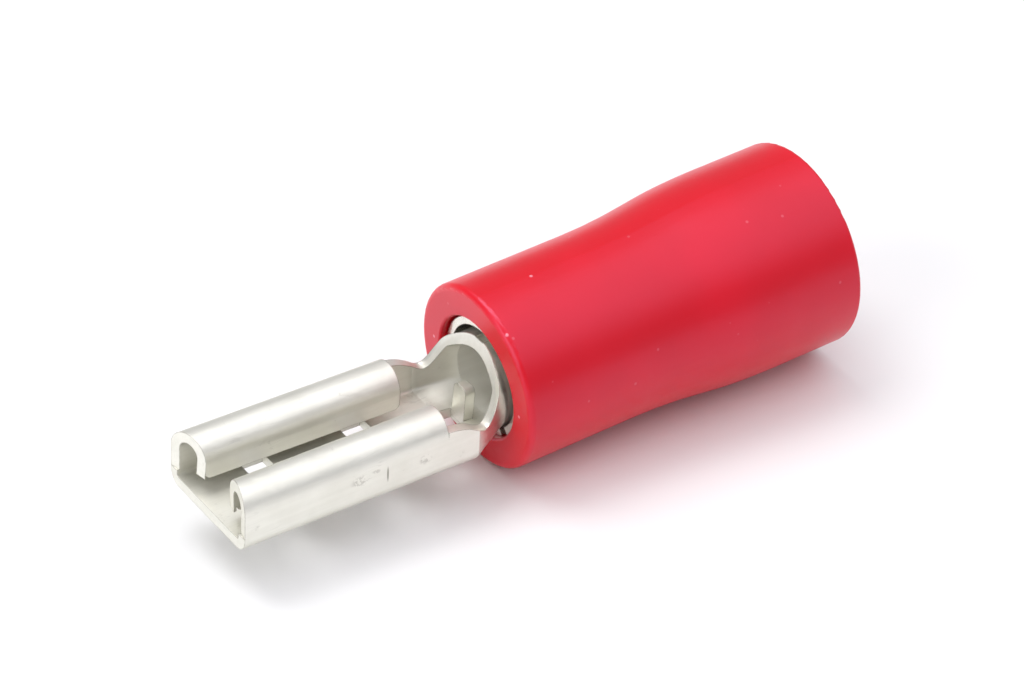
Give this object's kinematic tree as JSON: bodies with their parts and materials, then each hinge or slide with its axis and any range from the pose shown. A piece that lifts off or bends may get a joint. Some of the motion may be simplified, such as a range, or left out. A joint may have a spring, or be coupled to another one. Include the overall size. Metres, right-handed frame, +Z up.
{
  "type": "insulated female spade terminal",
  "caption": "Push-on female spade terminal: a folded tinned receptacle with rolled edges, an open neck with a tab stop, and a wire barrel in a red insulating sleeve.",
  "frame": {"origin": "centre of the object's box on the surface that it lies on", "axes": "+X from the receptacle's mouth to the wire entry, +Z up from the surface, +Y to the left of +X; the terminal lies on small flats under the sleeve's front rim and the end of its flare, so its axis dips about 2 degrees towards the mouth"},
  "size_m": [0.0186, 0.0056, 0.0058],
  "materials": {
    "tinned_sheet": "bright tin plating over brass, with a fine rolling grain",
    "grip_sheet": "bright tin plating over thin brass",
    "red_sleeve": "soft red PVC with a satin sheen"
  },
  "bodies": {
    "root": {"terminal": "tinned_sheet", "grip_sleeve": "grip_sheet", "insulating_sleeve": "red_sleeve"}
  },
  "joints": []
}
